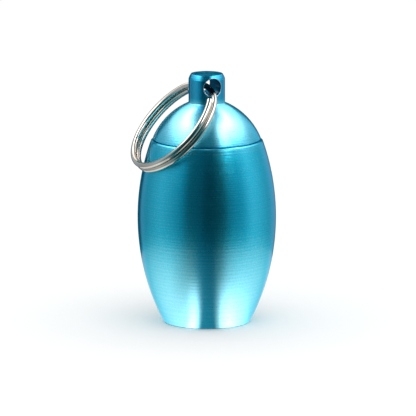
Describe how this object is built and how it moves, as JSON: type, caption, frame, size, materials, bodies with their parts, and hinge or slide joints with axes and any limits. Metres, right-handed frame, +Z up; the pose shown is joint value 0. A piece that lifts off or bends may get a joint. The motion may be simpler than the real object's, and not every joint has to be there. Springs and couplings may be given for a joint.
{
  "type": "earplug case",
  "caption": "Barrel-shaped turned metal capsule with a screw cap, a drilled post and a split ring, for carrying small earplugs.",
  "frame": {"origin": "centre of the flat base the case stands on", "axes": "+Z up along the case to the post, +Y along the eye through the post, and the ring hangs towards -X"},
  "size_m": [0.0265, 0.0254, 0.0462],
  "materials": {
    "anodised_shell": "satin turned, clear teal-blue anodised",
    "seal_rubber": "smooth black rubber",
    "ring_steel": "polished round steel wire"
  },
  "bodies": {
    "case": {"case_body": "anodised_shell"},
    "seal": {"neck_seal": "seal_rubber"},
    "cap": {"screw_cap": "anodised_shell"},
    "ring": {"split_ring": "ring_steel"}
  },
  "joints": [
    {"name": "cap_lift", "type": "slide", "parent": "case", "child": "seal", "axis": [0, 0, 1], "range_m": [0, 0.005]},
    {"name": "cap_turn", "type": "hinge", "parent": "seal", "child": "cap", "pos_m": [0, 0, 0.034], "axis": [0, 0, 1], "range_deg": [0, 1800]},
    {"name": "ring_swing", "type": "hinge", "parent": "cap", "child": "ring", "pos_m": [0, 0, 0.044], "axis": [0, 1, 0], "range_deg": [0, 276]}
  ],
  "couplings": [
    {"joint": "cap_lift", "follows": "cap_turn", "m_per_rad": 0.00015915}
  ]
}
